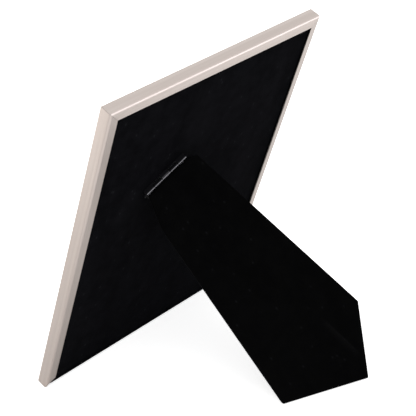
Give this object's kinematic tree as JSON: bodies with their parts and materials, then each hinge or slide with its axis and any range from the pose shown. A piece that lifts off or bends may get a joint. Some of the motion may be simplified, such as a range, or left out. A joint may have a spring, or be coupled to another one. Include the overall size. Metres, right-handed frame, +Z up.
{
  "type": "picture frame",
  "caption": "Slim metal picture frame for a 13 x 18 cm photo, with glass, a velvet back panel that slides out and a hinged easel leg cut to stand it upright or sideways.",
  "frame": {"origin": "on the table, under the middle of the whole frame with its leg open", "axes": "+Z up, the picture faces -Y and leans back, the leg stands out behind towards +Y, +X is to the right as seen from the front"},
  "size_m": [0.134, 0.1244, 0.1744],
  "materials": {
    "champagne_metal": "satin",
    "zinc_steel": "satin",
    "black_steel": "satin",
    "black_velvet": "matte",
    "hardboard": "matte",
    "clear_glass": "gloss",
    "photo_paper": "satin",
    "grey_card": "matte",
    "black_paper": "matte"
  },
  "bodies": {
    "surround": {"bottom_rail": "champagne_metal", "left_rail": "champagne_metal", "top_rail": "champagne_metal", "right_rail": "champagne_metal", "corner_angle_bottom_right": "zinc_steel", "corner_angle_bottom_left": "zinc_steel", "corner_angle_top_left": "zinc_steel", "corner_angle_top_right": "zinc_steel", "glass_pane": "clear_glass", "photo_insert": "photo_paper", "filler_card": "grey_card"},
    "back_panel": {"panel_board": "hardboard", "panel_velvet": "black_velvet", "panel_lining": "black_paper", "hinge_board_leaf": "black_steel", "hinge_pin": "black_steel", "board_rivet_right": "zinc_steel", "board_rivet_left": "zinc_steel"},
    "leg": {"leg_board": "hardboard", "leg_velvet_outer": "black_velvet", "leg_velvet_inner": "black_velvet", "hinge_leg_leaf": "black_steel", "leg_rivet_right": "zinc_steel", "leg_rivet_left": "zinc_steel"}
  },
  "joints": [
    {"name": "panel_slide", "type": "slide", "parent": "surround", "child": "back_panel", "axis": [0, -0.3681, -0.9298], "range_m": [0, 0.17]},
    {"name": "leg_hinge", "type": "hinge", "parent": "back_panel", "child": "leg", "pos_m": [0.0199, -0.00817, 0.11752], "axis": [-0.8508, 0.1934, 0.4886], "range_deg": [0, 45.8]}
  ]
}
